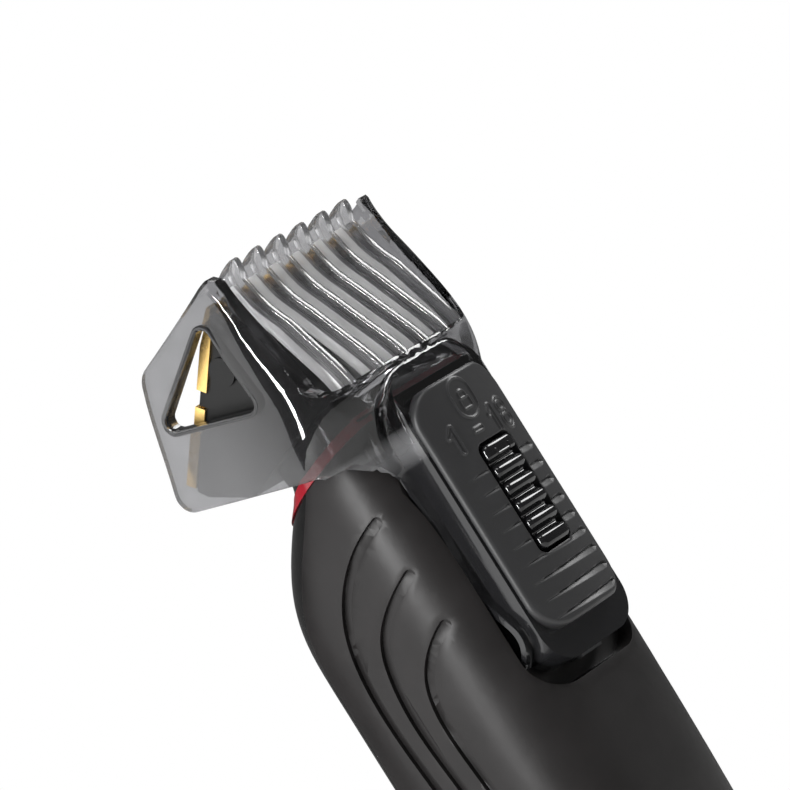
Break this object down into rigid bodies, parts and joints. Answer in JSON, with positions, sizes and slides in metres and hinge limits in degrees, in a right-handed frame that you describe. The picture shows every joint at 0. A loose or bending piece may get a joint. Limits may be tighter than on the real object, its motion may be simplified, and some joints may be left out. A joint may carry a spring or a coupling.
{
  "type": "hair clipper",
  "caption": "Cordless hair clipper with a smoked guide comb that slides on a rail, a rubber thumb pad with a press button, a toothed blade head and a rounded grip",
  "frame": {"origin": "centre of the base, at the mouth of the charging socket", "axes": "+Z from the base to the blade, +Y towards the back where the comb's pad is, +X to the user's left hand side of the back view"},
  "size_m": [0.0508, 0.0519, 0.18],
  "materials": {
    "satin_shell": "satin, very fine texture",
    "front_plastic": "fine matt",
    "gloss_black": "high gloss",
    "red_trim": "gloss",
    "black_nylon": "moulded",
    "holder_plastic": "moulded, satin",
    "white_nylon": "moulded",
    "switch_plastic": "satin, ribbed",
    "steel": "ground",
    "cutter_steel": "ground",
    "titanium_gold": "titanium coated, ground",
    "nickel": "nickel plated",
    "lens": "clear",
    "board": "solder mask",
    "chips": "moulded",
    "rubber_seal": "matt",
    "cell_wrap": "shrink wrap",
    "smoked_clear": "transparent smoked, polished",
    "pad_rubber": "soft matt",
    "button_gloss": "high gloss"
  },
  "bodies": {
    "housing": {"rear_shell": "satin_shell", "end_cap": "satin_shell", "front_cover": "front_plastic", "side_band": "gloss_black", "neck_collar": "gloss_black", "red_trim": "red_trim", "charging_socket": "black_nylon", "length_rack": "black_nylon", "housing_screws": "steel", "slide_switch": "black_nylon", "led_lens": "lens", "circuit_board": "board", "board_components": "chips", "chassis": "black_nylon", "motor_can": "nickel", "motor_end": "black_nylon", "dust_seal": "rubber_seal", "battery_cells": "cell_wrap", "battery_tabs": "nickel", "blade_holder": "holder_plastic", "fixed_blade": "titanium_gold", "blade_springs": "steel", "blade_screws": "steel"},
    "comb": {"comb_frame": "smoked_clear", "comb_tines": "smoked_clear", "comb_pad": "pad_rubber", "button_springs": "steel"},
    "comb_button": {"comb_button": "button_gloss"},
    "power_switch": {"power_switch": "switch_plastic"},
    "cutter": {"moving_blade": "cutter_steel", "cutter_yoke": "white_nylon"},
    "eccentric": {"motor_shaft": "steel", "eccentric_cam": "white_nylon"}
  },
  "joints": [
    {"name": "comb_slide", "type": "slide", "parent": "housing", "child": "comb", "axis": [0, 0, 1], "range_m": [0, 0.0255]},
    {"name": "button_press", "type": "slide", "parent": "comb", "child": "comb_button", "axis": [0, -1, 0], "range_m": [0, 0.001], "stiffness_N_per_m": 500, "springref_m": -0.0005},
    {"name": "switch_slide", "type": "slide", "parent": "housing", "child": "power_switch", "axis": [0, 0, 1], "range_m": [0, 0.0045]},
    {"name": "cutter_slide", "type": "slide", "parent": "housing", "child": "cutter", "axis": [1, 0, 0], "range_m": [-0.001, 0.001]},
    {"name": "eccentric_spin", "type": "hinge", "parent": "housing", "child": "eccentric", "pos_m": [0, 0.0055, 0.13], "axis": [0, 0, 1], "continuous": true}
  ]
}
